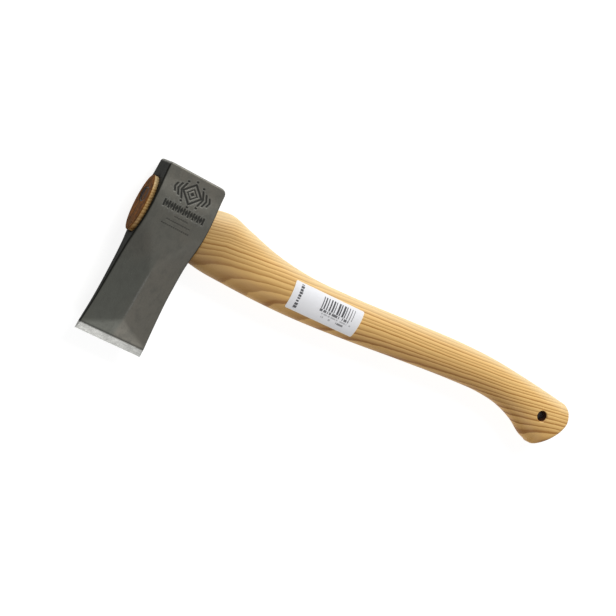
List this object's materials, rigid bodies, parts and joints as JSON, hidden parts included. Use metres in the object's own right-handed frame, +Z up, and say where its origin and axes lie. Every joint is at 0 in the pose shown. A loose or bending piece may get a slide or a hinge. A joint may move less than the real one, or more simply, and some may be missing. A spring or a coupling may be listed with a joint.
{
  "type": "hatchet",
  "caption": "Splitting hatchet: forged steel head with a ridged wedge bit on a curved ash handle with a shouldered neck, swelled knob and hang hole.",
  "frame": {"origin": "middle of the underside of the whole hatchet, lying on its cheek", "axes": "+X along the handle from the head towards the knob, +Y from the cutting edge towards the poll, +Z up out of the upper cheek, which is the side with the mark and the label"},
  "size_m": [0.5, 0.1659, 0.0338],
  "materials": {
    "forged_steel": "dark forge scale with a clear coat, bright ground bevel",
    "ash": "sanded ash, waxed, satin",
    "wedge_wood": "hardwood end grain, sealed",
    "wedge_steel": "plain cut steel tube",
    "label_paper": "white coated paper with dark print"
  },
  "bodies": {
    "root": {"axe_head": "forged_steel", "handle": "ash", "eye_wedge": "wedge_wood", "ring_wedge": "wedge_steel", "label": "label_paper"}
  },
  "joints": []
}
